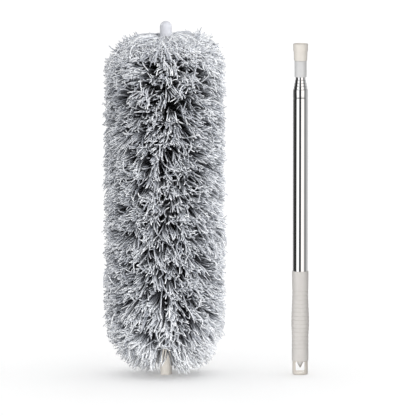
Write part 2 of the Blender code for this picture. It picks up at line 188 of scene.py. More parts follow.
def new_object(name, data):
    """Put a mesh, a lamp, a lens or a curve into the scene as an object."""
    placed = bpy.data.objects.new(name, data)
    bpy.context.scene.collection.objects.link(placed)
    return placed


BLACK = (0.0, 0.0, 0.0)
WHITE = (1.0, 1.0, 1.0)
room = bpy.data.worlds.new("studio_room")
room.use_nodes = True
bpy.context.scene.world = room
air = Nodes(room.node_tree)
ray = {name: air.add("ShaderNodeLightPath", output=name)
       for name in ("Is Camera Ray", "Is Glossy Ray", "Is Transmission Ray")}
heading = air.add("ShaderNodeTexCoord", output="Generated")
across, depth, height = (
    air.add("ShaderNodeSeparateXYZ", inputs={"Vector": heading}, output=axis) for axis in "XYZ")
turn = across.maths("ARCTAN2", across, depth * -1) / math.tau + 0.5
DARK_STRIP = (0.02, 0.022, 0.03)
WARM_STRIP = (1.25, 1.2, 1.16)
STRIP_LIGHTS = (
    (0.0, 0.08), (0.09, 0.12), (0.135, 0.45), (0.17, 0.42), (0.205, 0.035), (0.316, 0.035),
    (0.334, 1.25), (0.436, 1.25), (0.445, DARK_STRIP), (0.521, DARK_STRIP), (0.532, WARM_STRIP),
    (0.64, WARM_STRIP), (0.675, 0.3), (0.74, 0.24), (0.81, 0.5), (0.89, 0.75), (0.95, 0.2),
    (1.0, 0.08))
strips = air.add("ShaderNodeValToRGB", {"stops": STRIP_LIGHTS}, {0: turn})
STRIP_HEIGHTS = ((0.0, 0.1), (0.26, 0.15), (0.34, 1.0), (0.66, 1.0), (0.73, 0.08), (0.83, 0.1),
                 (0.9, 1.0), (1.0, 1.0))
reach = air.add("ShaderNodeValToRGB", {"stops": STRIP_HEIGHTS}, {0: height * 0.5 + 0.5})
WALL_EDGE, WALL_STEEPNESS = 0.8, 8
HORIZON, HORIZON_STEEPNESS = 0.03, 20
wall_side = air.add("ShaderNodeClamp", inputs={"Value": (depth - WALL_EDGE) * WALL_STEEPNESS})
wall_above = air.add("ShaderNodeClamp", inputs={"Value": (height - HORIZON) * HORIZON_STEEPNESS})
mirrored = air.mix(wall_side * wall_above, air.mix(reach, BLACK, strips), WHITE)
SKY = ((0.0, 0.12), (0.5, 0.13), (1.0, 0.18))
sky = air.add("ShaderNodeValToRGB", {"stops": SKY}, {0: height * 0.5 + 0.5})
seen = air.mix(ray["Is Glossy Ray"], sky, mirrored)
white_seen = ray["Is Camera Ray"].maths("MAXIMUM", ray["Is Camera Ray"], ray["Is Transmission Ray"])
backdrop = air.mix(white_seen, seen, WHITE)
air.feed(room.node_tree.nodes["Background"], {"Color": backdrop})


def softbox(name, heading, strength, spread):
    """A broad soft light from far off. No reflection shows it: the strips are there for that."""
    light = bpy.data.lights.new(name, "SUN")
    light.energy = strength
    light.angle = math.radians(spread)
    lamp = new_object(name, light)
    lamp.rotation_euler = Vector(heading).to_track_quat("Z", "Y").to_euler()
    lamp.visible_glossy = False
    return lamp


FLOOR_RING = 6
FLOOR_RING_RISE = 0.7
floor_light = softbox("floor_softbox", (0.03, 0.12, 1.0), strength=1.0, spread=70)
floor_ring = []
for number in range(FLOOR_RING):
    bearing = math.tau * number / FLOOR_RING
    ring_heading = (math.cos(bearing), math.sin(bearing), FLOOR_RING_RISE)
    floor_ring.append(softbox(f"floor_ring_{number + 1}", ring_heading, strength=0.5, spread=50))
top_light = softbox("top_softbox", (0.05, 0.0, 1.0), strength=0.5, spread=70)
head_key = softbox("head_softbox", (0.95, -0.6, 0.36), strength=2.3, spread=40)
head_fill = softbox("head_fill", (-0.9, -0.4, 0.4), strength=1.4, spread=20)
head_front = softbox("head_front", (0.25, -0.9, 0.32), strength=1.1, spread=12)
pole_key = softbox("pole_softbox", (-0.28, -1.0, 0.22), strength=1.76, spread=14)
foot_light = softbox("foot_softbox", (-0.3, -1.0, 0.12), strength=2.2, spread=20)
window_light = softbox("window_softbox", (0.0, 1.0, 0.35), strength=1.8, spread=20)
back_light = softbox("back_softbox", (0.0, 1.0, 0.2), strength=1.7, spread=20)

LOW_AT = Vector((-0.055, -0.22, 0.008))
LOW_AIM = Vector((-0.055, -0.02, 0.045))
low_panel = bpy.data.lights.new("low_softbox", "AREA")
low_panel.energy = 0.088
low_panel.shape = "RECTANGLE"
low_panel.size = 0.2
low_panel.size_y = 0.03
low_light = new_object("low_softbox", low_panel)
low_light.location = LOW_AT
low_light.rotation_euler = (LOW_AT - LOW_AIM).to_track_quat("Z", "Y").to_euler()
low_light.visible_glossy = False
low_light.visible_camera = False

FLOOR_HALF = 40
floor_mesh = bpy.data.meshes.new("studio_floor")
sweep = bmesh.new()
bmesh.ops.create_grid(sweep, x_segments=1, y_segments=1, size=FLOOR_HALF)
sweep.to_mesh(floor_mesh)
sweep.free()
studio_floor = new_object("studio_floor", floor_mesh)
studio_floor.visible_glossy = False
studio_floor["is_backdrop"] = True
paint, floor_nodes, floor_shader = new_material("floor_paint")
floor_seen = floor_nodes.add("ShaderNodeLightPath", output="Is Camera Ray")
floor_glow = floor_nodes.mix(floor_seen, BLACK, (0.1, 0.1, 0.1))
floor_white = floor_nodes.mix(floor_seen, (0.72, 0.72, 0.72), (0.92, 0.92, 0.92))
floor_nodes.feed(floor_shader, {
    "Base Color": floor_white, "Roughness": 1.0, "Specular IOR Level": 0.0,
    "Emission Color": floor_glow, "Emission Strength": 1.0})
floor_mesh.materials.append(paint)

CARD_SIZE = (0.09, 0.44)
CARD_AT = (0.04, 0, 0.22)
card_mesh = bpy.data.meshes.new("dark_card")
card = bmesh.new()
bmesh.ops.create_grid(card, x_segments=1, y_segments=1, size=0.5)
bmesh.ops.scale(card, vec=(CARD_SIZE[1], CARD_SIZE[0], 1), verts=card.verts)
bmesh.ops.rotate(card, matrix=Matrix.Rotation(math.pi / 2, 3, "Y"), verts=card.verts)
bmesh.ops.translate(card, vec=CARD_AT, verts=card.verts)
card.to_mesh(card_mesh)
card.free()
dark_card = new_object("dark_card", card_mesh)
dark_card.visible_camera = False
dark_card.visible_diffuse = False
dark_card.visible_shadow = False
dark_card.visible_transmission = False
dark_card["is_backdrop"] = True
black, card_nodes, card_shader = new_material("card_black")
card_nodes.feed(card_shader, {
    "Base Color": BLACK, "Roughness": 1.0, "Specular IOR Level": 0.0,
    "Emission Color": (0.035, 0.035, 0.035), "Emission Strength": 1.0})
card_mesh.materials.append(black)

VIEW_TARGET = Vector((0.002, 0, 0.2154))
VIEW_DISTANCE = 9.0
VIEW_ELEVATION = math.radians(7)
VIEW_WIDTH = 0.5341
lens = bpy.data.cameras.new("camera")
lens.sensor_width = 36
lens.lens = lens.sensor_width * VIEW_DISTANCE / VIEW_WIDTH
camera = new_object("camera", lens)
towards = Vector((0, -math.cos(VIEW_ELEVATION), math.sin(VIEW_ELEVATION)))
camera.location = VIEW_TARGET + towards * VIEW_DISTANCE
camera.rotation_euler = (-towards).to_track_quat("-Z", "Y").to_euler()
bpy.context.scene.camera = camera
bpy.context.scene.view_settings.view_transform = "Standard"


# --- Hang loop ---
# A beige moulding that the closed pole hangs and stands on. It is a short barrel with a square
# window through it, under a disc that swivels on the stem of the end plug.

pole_low, pole_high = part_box("outer_tube")
head_low, head_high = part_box("head_stub")
pole_x = (pole_low.x + pole_high.x) / 2
head_x = (head_low.x + head_high.x) / 2


def rounded(radius_at, height_at, radius, start, end, steps=4):
    """Points on a round corner of an outline, from one angle to another in degrees."""
    turns = [math.radians(start + (end - start) * step / steps) for step in range(steps + 1)]
    return [(radius_at + radius * math.cos(a), height_at + radius * math.sin(a)) for a in turns]


def spun(outline, axis_x, steps=96):
    """Spin an outline of (radius, height) points round an upright axis into a closed skin."""
    skin = bmesh.new()
    points = [skin.verts.new((axis_x + radius, 0, height)) for radius, height in outline]
    lines = [skin.edges.new(pair) for pair in zip(points, points[1:])]
    if outline[0][0] > 0:
        lines.append(skin.edges.new((points[-1], points[0])))
    bmesh.ops.spin(skin, geom=points + lines, cent=(axis_x, 0, 0), axis=(0, 0, 1),
                   angle=math.tau, steps=steps, use_merge=True)
    bmesh.ops.remove_doubles(skin, verts=skin.verts, dist=1e-6)
    bmesh.ops.recalc_face_normals(skin, faces=skin.faces)
    return skin


CREASE_ANGLE = math.radians(50)


def add_object(name, skin, finish, creased=False):
    """Make a mesh an object at the origin, shaded smooth, or smooth up to its hard edges."""
    mesh = bpy.data.meshes.new(name)
    skin.to_mesh(mesh)
    skin.free()
    mesh.shade_smooth()
    mesh.materials.append(finish)
    if creased:
        mesh.set_sharp_from_angle(angle=CREASE_ANGLE)
    return new_object(name, mesh)


def cut_out(piece, cutter):
    """Take a mesh out of a piece for good."""
    mesh = bpy.data.meshes.new("cutter")
    cutter.to_mesh(mesh)
    cutter.free()
    tool = new_object("cutter", mesh)
    boolean = piece.modifiers.new("cut", "BOOLEAN")
    boolean.object = tool
    bpy.context.view_layer.update()
    graph = bpy.context.evaluated_depsgraph_get()
    cut_mesh = bpy.data.meshes.new_from_object(piece.evaluated_get(graph))
    piece.modifiers.remove(boolean)
    piece.data = cut_mesh
    bpy.data.objects.remove(tool)


def moulding(name, colour, roughness, grain, grain_size, mottle=0.04, gloss=0.5):
    """A moulded plastic: faint mottling in the colour and a fine grain in the skin."""
    material, nodes, shader = new_material(name)
    place = nodes.add("ShaderNodeTexCoord", output="Object")
    clouds = nodes.add("ShaderNodeTexNoise", inputs={"Vector": place, "Scale": 160.0, "Detail": 4.0})
    skin = nodes.add("ShaderNodeTexNoise", inputs={
        "Vector": place, "Scale": 1 / grain_size, "Detail": 2.0})
    darker = tuple(c * (1 - 2 * mottle) for c in colour)
    shade = nodes.mix(clouds, darker, tuple(min(1.0, c * (1 + mottle)) for c in colour))
    bump = nodes.add("ShaderNodeBump", inputs={
        "Strength": 0.35, "Distance": grain, "Height": skin})
    nodes.feed(shader, {
        "Base Color": shade, "Roughness": clouds * 0.12 + (roughness - 0.06), "Normal": bump,
        "Specular IOR Level": gloss})
    return material


LOOP_RADIUS = 0.0099
LOOP_CORNER = 0.0018
LOOP_DISC_RADIUS = 0.0093
LOOP_DISC_HEIGHT = 0.003
LOOP_HOLE_RADIUS = 0.0026
WINDOW_WIDTH = 0.0115
WINDOW_FOOT = 0.0037
WINDOW_CORNER = 0.0013
LOOP_EDGE = 0.0007
loop_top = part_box("hang_loop")[1].z
window_top = loop_top - LOOP_DISC_HEIGHT
window_middle = (WINDOW_FOOT + window_top) / 2
loop_outline = [(0, 0), *rounded(LOOP_RADIUS - LOOP_CORNER, LOOP_CORNER, LOOP_CORNER, -90, 0, 6),
                (LOOP_RADIUS, window_top), (LOOP_DISC_RADIUS, window_top), (LOOP_DISC_RADIUS, loop_top),
                (LOOP_HOLE_RADIUS, loop_top), (LOOP_HOLE_RADIUS, window_middle), (0, window_middle)]
beige_finish = moulding("beige_moulding", (0.81, 0.76, 0.69), roughness=0.3, grain=0.0001,
                        grain_size=0.0006)
hang_loop = add_object("loop_moulding", spun(loop_outline, pole_x, steps=80), beige_finish)
window = bmesh.new()
bmesh.ops.create_cube(window, size=1)
window_height = window_top - WINDOW_FOOT
bmesh.ops.scale(window, vec=(WINDOW_WIDTH, 4 * LOOP_RADIUS, window_height), verts=window.verts)
bmesh.ops.translate(window, vec=(pole_x, 0, window_middle), verts=window.verts)
window_corners = [edge for edge in window.edges if edge.calc_length() > 3 * LOOP_RADIUS]
bmesh.ops.bevel(window, geom=window_corners, offset=WINDOW_CORNER, offset_type="OFFSET",
                affect="EDGES", segments=5, profile=0.5, material=-1)
cut_out(hang_loop, window)
loop_edge = hang_loop.modifiers.new("edge", "BEVEL")
loop_edge.width = LOOP_EDGE
loop_edge.segments = 3
loop_edge.limit_method = "ANGLE"
loop_edge.angle_limit = math.radians(40)
loop_edge.harden_normals = True
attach(hang_loop, "loop")
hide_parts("hang_loop")


# --- End plug ---
# A white moulding pushed into the foot of the outer tube. Its split cone snaps through the disc
# of the loop and shows in the window.

CONE_FOOT = 0.0081
CONE_TOP = 0.0169
CONE_RIM = 0.0013
CONE_TIP_RADIUS = 0.0004
CONE_RADIUS = 0.004
CONE_SLOT = 0.001
STEM_RADIUS = 0.0023
PLUG_FLANGE = (0.0205, 0.022)
PLUG_RADIUS = 0.0088
PLUG_HOLLOW_RADIUS = 0.007
plug_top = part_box("end_plug")[1].z
plug_outline = [(0, CONE_FOOT), (CONE_TIP_RADIUS, CONE_FOOT), (CONE_RADIUS, CONE_TOP - CONE_RIM),
                (CONE_RADIUS, CONE_TOP), (STEM_RADIUS, CONE_TOP), (STEM_RADIUS, PLUG_FLANGE[0]),
                (LOOP_DISC_RADIUS, PLUG_FLANGE[0]), (LOOP_DISC_RADIUS, PLUG_FLANGE[1]),
                (PLUG_RADIUS, PLUG_FLANGE[1]), (PLUG_RADIUS, plug_top), (PLUG_HOLLOW_RADIUS, plug_top),
                (PLUG_HOLLOW_RADIUS, PLUG_FLANGE[1]), (0, PLUG_FLANGE[1])]
white_finish = moulding("white_moulding", (0.745, 0.742, 0.74), roughness=0.16, grain=0.000015,
                        grain_size=0.0005, mottle=0.03, gloss=0.45)
end_plug = add_object("plug_moulding", spun(plug_outline, pole_x, steps=64), white_finish)
slot = bmesh.new()
bmesh.ops.create_cube(slot, size=1)
bmesh.ops.scale(slot, vec=(4 * CONE_RADIUS, CONE_SLOT, 2 * (loop_top - CONE_FOOT)), verts=slot.verts)
bmesh.ops.translate(slot, vec=(pole_x, 0, CONE_FOOT - CONE_SLOT), verts=slot.verts)
cut_out(end_plug, slot)
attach(end_plug, "handle")
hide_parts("end_plug")


# --- Grip ---
# An off-white sleeve moulded over the foot of the outer tube. It swells for the palm, narrows to
# a waist, and fine rings are moulded into it so that it doesn't slip.

GRIP_END_RADIUS = 0.0106
GRIP_BULGE_RADIUS = 0.01135
GRIP_WAIST_RADIUS = 0.0103
GRIP_STATIONS = (0.028, 0.049, 0.086)
GRIP_BORE_RADIUS = 0.0096
GRIP_LIP = 0.0009
RING_COUNT = 15
RING_START = 0.0169
RING_PITCH = 0.00529
RING_WIDTH = 0.0014
RING_DEPTH = 0.0007
grip_foot, grip_top = (corner.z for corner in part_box("grip_sleeve"))
grip_length = grip_top - grip_foot


def grip_radius(height):
    """The sleeve's outline above its foot, without the rings."""
    low, middle, high = GRIP_STATIONS
    stations = [(0, GRIP_END_RADIUS), (low, GRIP_END_RADIUS), (middle, GRIP_BULGE_RADIUS),
                (high, GRIP_WAIST_RADIUS), (grip_length, GRIP_END_RADIUS)]
    for (z0, r0), (z1, r1) in zip(stations, stations[1:]):
        if height <= z1:
            return r0 + (r1 - r0) * (1 - math.cos(math.pi * (height - z0) / (z1 - z0))) / 2
    return GRIP_END_RADIUS


def ring_dip(height):
    """How deep a ring cuts in at a height."""
    number = min(max(round((height - RING_START) / RING_PITCH), 0), RING_COUNT - 1)
    off = abs(height - RING_START - number * RING_PITCH) / (RING_WIDTH / 2)
    return RING_DEPTH * (1 + math.cos(math.pi * off)) / 2 if off < 1 else 0


GRIP_STEPS = 330
grip_outline = [(GRIP_BORE_RADIUS, grip_foot),
                *rounded(grip_radius(0) - GRIP_LIP, grip_foot + GRIP_LIP, GRIP_LIP, -90, 0)]
for step in range(1, GRIP_STEPS):
    z = GRIP_LIP + (grip_length - 2 * GRIP_LIP) * step / GRIP_STEPS
    grip_outline.append((grip_radius(z) - ring_dip(z), grip_foot + z))
grip_outline += rounded(grip_radius(grip_length) - GRIP_LIP, grip_top - GRIP_LIP, GRIP_LIP, 0, 90)
grip_outline.append((GRIP_BORE_RADIUS, grip_top))
cream_finish = moulding("cream_grip", (0.735, 0.705, 0.675), roughness=0.42, grain=0.00012,
                        grain_size=0.0005, mottle=0.03)
grip = add_object("grip_moulding", spun(grip_outline, pole_x), cream_finish)
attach(grip, "handle")
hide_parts("grip_sleeve")


# --- Telescopic tubes ---
# Five polished stainless tubes, drawn thin, one inside the other. Each rim is rolled in, and a
# bead below it stops the bush of the tube inside.

def steel_finish():
    """Polished steel: long faint polishing lines and a few dull smears from hands."""
    material, nodes, shader = new_material("polished_steel")
    place = nodes.add("ShaderNodeTexCoord", output="Object")
    drawn = nodes.add("ShaderNodeMapping", inputs={"Vector": place, "Scale": (1.0, 1.0, 0.02)})
    lines = nodes.add("ShaderNodeTexNoise", inputs={"Vector": drawn, "Scale": 1800.0, "Detail": 3.0})
    smears = nodes.add("ShaderNodeTexNoise", inputs={"Vector": place, "Scale": 90.0, "Detail": 5.0})
    bump = nodes.add("ShaderNodeBump", inputs={"Strength": 0.02, "Distance": 0.00002, "Height": lines})
    nodes.feed(shader, {
        "Base Color": nodes.mix(smears, (0.86, 0.86, 0.87), (0.93, 0.93, 0.93)), "Metallic": 1.0,
        "Roughness": smears * 0.03 + 0.01, "Normal": bump})
    return material


TUBE_WALLS = (0.0006, 0.0004, 0.0004, 0.0004, 0.0004)
NEST_DEPTH = 0.00025
BEAD_DROP = 0.012
BEAD_HALF = 0.001
SHOULDER = 0.0014
RIM_WALL = 0.0002
RIM_STEPS = 8
BEAD_FLANK = 0.7
TUBE_NODES = ("outer_tube", "tube_2", "tube_3", "tube_4", "tube_5")
TUBE_BODIES = ("handle", "section_2", "section_3", "section_4", "section_5")
steel = steel_finish()
for node, body, wall in zip(TUBE_NODES, TUBE_BODIES, TUBE_WALLS):
    low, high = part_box(node)
    outside, foot, top = (high.y - low.y) / 2, low.z, high.z
    bore = outside - wall
    if node == TUBE_NODES[-1]:
        tube_outline = [(outside, foot), (outside, top), (bore, top), (bore, foot)]
    else:
        bead = top - BEAD_DROP
        rim = bore - NEST_DEPTH
        roll = outside - rim - RIM_WALL
        flank = outside - NEST_DEPTH * BEAD_FLANK
        tube_outline = [(outside, foot), (outside, bead - BEAD_HALF), (flank, bead - BEAD_HALF / 2),
                        (outside - NEST_DEPTH, bead), (flank, bead + BEAD_HALF / 2),
                        (outside, bead + BEAD_HALF)]
        for step in range(RIM_STEPS + 1):
            bend = math.pi / 2 * step / RIM_STEPS
            tube_outline.append((outside - roll * (1 - math.cos(bend)),
                                 top - SHOULDER * (1 - math.sin(bend))))
        tube_outline += [(rim, top), (rim, top - SHOULDER / 3), (bore, top - SHOULDER), (bore, foot)]
    tube = add_object(node + "_drawn", spun(tube_outline, pole_x), steel, creased=True)
    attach(tube, body)
    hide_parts(node)


# --- Bushes ---
# White plastic cups in the feet of the inner tubes. They guide each tube in the one around it,
# and stay out of sight inside.

for node in ("bush_2", "bush_3", "bush_4", "bush_5"):
    frame["nodes"][node].data.materials.clear()
    frame["nodes"][node].data.materials.append(white_finish)


# --- Connector ---
# The white moulding pressed onto the innermost tube: a sleeve that shows, and above it the neck
# and the snap rim that the collar turns on.

SLEEVE_RADIUS = 0.0077
SLEEVE_EDGE = 0.0006
SLEEVE_HEIGHT = 0.0207
SOCKET_RADIUS = 0.0064
SOCKET_DEPTH = 0.0168
NECK_RADIUS = 0.0065
SNAP_RIM_RADIUS = 0.0071
SNAP_RIM_HEIGHT = 0.0012
CORE_HOLE_RADIUS = 0.0045
CORE_HOLE_DEPTH = 0.0045
sleeve_foot, rim_top = (corner.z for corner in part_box("pole_connector"))
sleeve_top = sleeve_foot + SLEEVE_HEIGHT
rim_foot = rim_top - SNAP_RIM_HEIGHT
connector_outline = [
    (0, sleeve_foot + SOCKET_DEPTH), (SOCKET_RADIUS, sleeve_foot + SOCKET_DEPTH),
    (SOCKET_RADIUS, sleeve_foot),
    *rounded(SLEEVE_RADIUS - SLEEVE_EDGE, sleeve_foot + SLEEVE_EDGE, SLEEVE_EDGE, -90, 0),
    (SLEEVE_RADIUS, sleeve_top), (NECK_RADIUS, sleeve_top), (NECK_RADIUS, rim_foot),
    (SNAP_RIM_RADIUS, rim_foot), (NECK_RADIUS, rim_top), (CORE_HOLE_RADIUS, rim_top),
    (CORE_HOLE_RADIUS, rim_top - CORE_HOLE_DEPTH), (0, rim_top - CORE_HOLE_DEPTH)]
connector = add_object("connector_moulding", spun(connector_outline, pole_x, steps=80), white_finish,
                       creased=True)
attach(connector, "section_5")
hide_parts("pole_connector")


# --- Lock collar ---
# The beige collar in two tiers that turns on the connector's neck. The stub of the head goes into
# its bore, and a turn of the collar holds it.

COLLAR_FOOT_RADIUS = 0.0085
COLLAR_STEP_RADIUS = 0.0088
COLLAR_BAND_RADIUS = 0.00935
COLLAR_TOP_RADIUS = 0.00955
COLLAR_BAND_HEIGHT = 0.0094
COLLAR_EDGE = 0.0007
COLLAR_HOLE_RADIUS = 0.0068
COLLAR_BORE_RADIUS = 0.00775
COLLAR_FLANGE = 0.0024
collar_foot, collar_top = (corner.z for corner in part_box("lock_collar"))
band_foot = collar_top - COLLAR_BAND_HEIGHT
collar_outline = [
    (COLLAR_HOLE_RADIUS, collar_foot),
    *rounded(COLLAR_FOOT_RADIUS - COLLAR_EDGE, collar_foot + COLLAR_EDGE, COLLAR_EDGE, -90, 0),
    *rounded(COLLAR_STEP_RADIUS + COLLAR_EDGE / 2, band_foot - COLLAR_EDGE, COLLAR_EDGE / 2, 180, 90),
    *rounded(COLLAR_BAND_RADIUS - COLLAR_EDGE / 3, band_foot, COLLAR_EDGE / 3, -90, 0),
    *rounded(COLLAR_TOP_RADIUS - COLLAR_EDGE, collar_top - COLLAR_EDGE, COLLAR_EDGE, 0, 90),
    *rounded(COLLAR_BORE_RADIUS + COLLAR_EDGE / 2, collar_top - COLLAR_EDGE / 2, COLLAR_EDGE / 2,
             90, 180),
    (COLLAR_BORE_RADIUS, collar_foot + COLLAR_FLANGE),
    (COLLAR_HOLE_RADIUS, collar_foot + COLLAR_FLANGE)]
collar_finish = moulding("beige_collar", (0.86, 0.815, 0.75), roughness=0.16, grain=0.000015,
                         grain_size=0.0005, mottle=0.03, gloss=0.45)
collar = add_object("collar_moulding", spun(collar_outline, pole_x), collar_finish, creased=True)
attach(collar, "collar")
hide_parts("lock_collar")


# --- Head stub ---
# The plain beige end of the head. It goes into the collar, and the foot of the core is pressed
# into its top.

STUB_RADIUS = 0.00745
STUB_EDGE = 0.0009
STUB_SEAT_RADIUS = 0.0061
STUB_SEAT_FLOOR = 0.0225
stub_top = head_high.z
stub_outline = [(0, 0), *rounded(STUB_RADIUS - STUB_EDGE, STUB_EDGE, STUB_EDGE, -90, 0),
                *rounded(STUB_RADIUS - STUB_EDGE, stub_top - STUB_EDGE, STUB_EDGE, 0, 90),
                (STUB_SEAT_RADIUS, stub_top), (STUB_SEAT_RADIUS, STUB_SEAT_FLOOR), (0, STUB_SEAT_FLOOR)]
stub_finish = moulding("beige_stub", (0.76, 0.718, 0.655), roughness=0.3, grain=0.00008,
                       grain_size=0.0006)
stub = add_object("stub_moulding", spun(stub_outline, head_x, steps=80), stub_finish, creased=True)
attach(stub, "head_1")
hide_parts("head_stub")


# --- Bendable core ---
# A steel wire in a plastic tube, from the stub to the cap. It keeps the bend that a hand gives
# it, so it is made in three lengths that each bend over one of the joints.

BEND_HALF = 0.04
bends = [joint["pos_m"][2] for joint in frame["joints"] if joint["name"].startswith("bend")]
HEAD_BODIES = ("head_1", "head_2", "head_3", "head_4")
length_ends = [STUB_SEAT_FLOOR, (bends[0] + bends[1]) / 2, (bends[1] + bends[2]) / 2,
               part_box("core_tube_4")[1].z]
CORE_RADIUS = 0.006
CORE_BORE = 0.00205
WIRE_RADIUS = 0.00175
FLEXIBLE_STEP = 0.004


def bend_with(piece, number):
    """Let a piece of the head follow one bend: below it the body under it, above it the next."""
    start = (head_x, 0, bends[number] - BEND_HALF)
    end = (head_x, 0, bends[number] + BEND_HALF)
    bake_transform(piece, HEAD_BODIES[number], HEAD_BODIES[number + 1], start, end)


def flexible(name, number, outside, bore, foot, top, finish, steps):
    """A length of round tube or rod with rings close enough together to bend."""
    rings = round((top - foot) / FLEXIBLE_STEP)
    rise = [foot + (top - foot) * ring / rings for ring in range(rings + 1)]
    outline = [(outside, z) for z in rise]
    outline += [(bore, z) for z in reversed(rise)] if bore else [(0, top)]
    skin = spun(([] if bore else [(0, foot)]) + outline, head_x, steps)
    piece = add_object(name, skin, finish, creased=True)
    bend_with(piece, number)
    return piece


def wire_finish():
    """Drawn spring wire: grey, with fine lines along it."""
    material, nodes, shader = new_material("wire_steel")
    place = nodes.add("ShaderNodeTexCoord", output="Object")
    drawn = nodes.add("ShaderNodeMapping", inputs={"Vector": place, "Scale": (1.0, 1.0, 0.03)})
    lines = nodes.add("ShaderNodeTexNoise", inputs={"Vector": drawn, "Scale": 2500.0, "Detail": 2.0})
    nodes.feed(shader, {
        "Base Color": nodes.mix(lines, (0.4, 0.4, 0.41), (0.6, 0.6, 0.6)), "Metallic": 1.0,
        "Roughness": lines * 0.2 + 0.25})
    return material


core_finish = moulding("core_plastic", (0.62, 0.62, 0.63), roughness=0.4, grain=0.00005,
                       grain_size=0.001)
wire_steel = wire_finish()
CORE_NODES = ((1, 2), (3,), (4,))
for number, (foot, top) in enumerate(zip(length_ends, length_ends[1:])):
    core = flexible(f"core_length_{number + 1}", number, CORE_RADIUS, CORE_BORE, foot, top,
                    core_finish, steps=32)
    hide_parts(*[f"core_tube_{n}" for n in CORE_NODES[number]])
    wire = flexible(f"wire_length_{number + 1}", number, WIRE_RADIUS, 0, foot, top,
                    wire_steel, steps=24)
    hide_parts(*[f"core_wire_{n}" for n in CORE_NODES[number]])


# --- Cap ---
# The white domed cap on the end of the core, which keeps the wire from scratching what is dusted.

CAP_RADIUS = 0.00765
CAP_SEAT_RADIUS = 0.0061
CAP_ROOF = 0.4463
cap_foot, cap_top = (corner.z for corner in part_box("head_cap"))
cap_outline = [(0, CAP_ROOF), (CAP_SEAT_RADIUS, CAP_ROOF), (CAP_SEAT_RADIUS, cap_foot),
               (CAP_RADIUS, cap_foot),
               *rounded(0, cap_top - CAP_RADIUS, CAP_RADIUS, 0, 90, 16)[:-1], (0, cap_top)]
cap_finish = moulding("white_cap", (0.615, 0.625, 0.67), roughness=0.25, grain=0.00006,
                      grain_size=0.0006, mottle=0.02)
cap = add_object("cap_moulding", spun(cap_outline, head_x, steps=80), cap_finish, creased=True)
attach(cap, "head_4")
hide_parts("head_cap")


# --- Pile ---
# Some twenty thousand limp microfibre strands, sewn in tufts to a fabric sleeve over the core.
# They droop a little and lie over the ends in domes. Their colour holds painted shade: dark deep
# below the pile's outline and pale near it, with painted light near the foot, the top and the fringe.

SLEEVE_OUTSIDE = 0.0075
SLEEVE_INSIDE = 0.0063
BACKING_GAP = 0.0003
backing_foot, backing_top = head_high.z + BACKING_GAP, cap_foot - BACKING_GAP
backing_finish = moulding("backing_fabric", (0.1, 0.1, 0.11), roughness=0.9, grain=0.0002,
                          grain_size=0.0005, mottle=0.2)
backing_ends = [backing_foot, *length_ends[1:3], backing_top]
for number, (foot, top) in enumerate(zip(backing_ends, backing_ends[1:])):
    backing = flexible(f"backing_{number + 1}", number, SLEEVE_OUTSIDE, SLEEVE_INSIDE, foot, top,
                       backing_finish, steps=32)

ROWS = 38
TUFTS_A_ROW = 42
STRANDS_A_TUFT = 13
STRAND_SHARES = np.array([0, 0.3, 0.48, 0.62, 0.73, 0.82, 0.89, 0.95, 1.0])
STRAND_TAPER = np.array([0.4, 0.8, 1.0, 1.0, 1.0, 1.0, 1.0, 0.9, 0.7], np.float32)
STRAND_POINTS = len(STRAND_SHARES)
STRAND_RADIUS = 0.00082
STRAND_SIDES = 4
ROOT_SINK = 0.0004
PILE_RADIUS = 0.0798
PILE_FOOT = 0.009
PILE_TOP = 0.4388
FOOT_CURVE = 0.061
TOP_CURVE = 0.05
FOOT_WIDTH = 0.057
TOP_WIDTH = 0.066
TIP_FAN = 0.175
TIP_DROOP = 0.019
PILE_TILT = 0.1
PILE_SWAY = 0.022
PARTING = 0.07
PAINTED_SHADE_DEPTH = 0.0378
CLUMP_WAVE, STRAND_WAVE, CRIMP = 0.005, 0.0014, 0.0006
HOOK, HOOK_LIMIT = 0.0024, 0.0042
DOME_LIFT = 0.0012
ARCH_HALF_WIDTH, ARCH_FADE = 0.0095, 0.006
ARCH_DEPTH = 0.006
ARCH_HEIGHT = 0.0385
FLOOR_GAP = 0.0012
ARC_POINTS = 25
OUTLINE_SAMPLES = 90
quarter = np.radians(np.linspace(0, 90, ARC_POINTS))
outline_r = PILE_RADIUS - np.concatenate([FOOT_WIDTH * (1 - np.sin(quarter)),
                                          TOP_WIDTH * (1 - np.cos(quarter))])
outline_z = np.concatenate([PILE_FOOT + FOOT_CURVE * (1 - np.cos(quarter)),
                            PILE_TOP - TOP_CURVE * (1 - np.sin(quarter))])
outline_run = np.concatenate([[0], np.cumsum(np.hypot(np.diff(outline_r), np.diff(outline_z)))])
outline_run /= outline_run[-1]


def depth_below(r, z):
    """How deep points lie below the outline of the pile."""
    share = np.linspace(0, 1, OUTLINE_SAMPLES)
    edge_r = np.interp(share, outline_run, outline_r)
    edge_z = np.interp(share, outline_run, outline_z)
    nearest = np.full(r.shape, 1.0)
    for er, ez in zip(edge_r, edge_z):
        nearest = np.minimum(nearest, np.hypot(r - er, z - ez))
    return nearest


def fade(value, start, span):
    """Rise from 0 at the start to 1 a span further on. A negative span fades downwards."""
    return np.clip((value - start) / span, 0, 1)


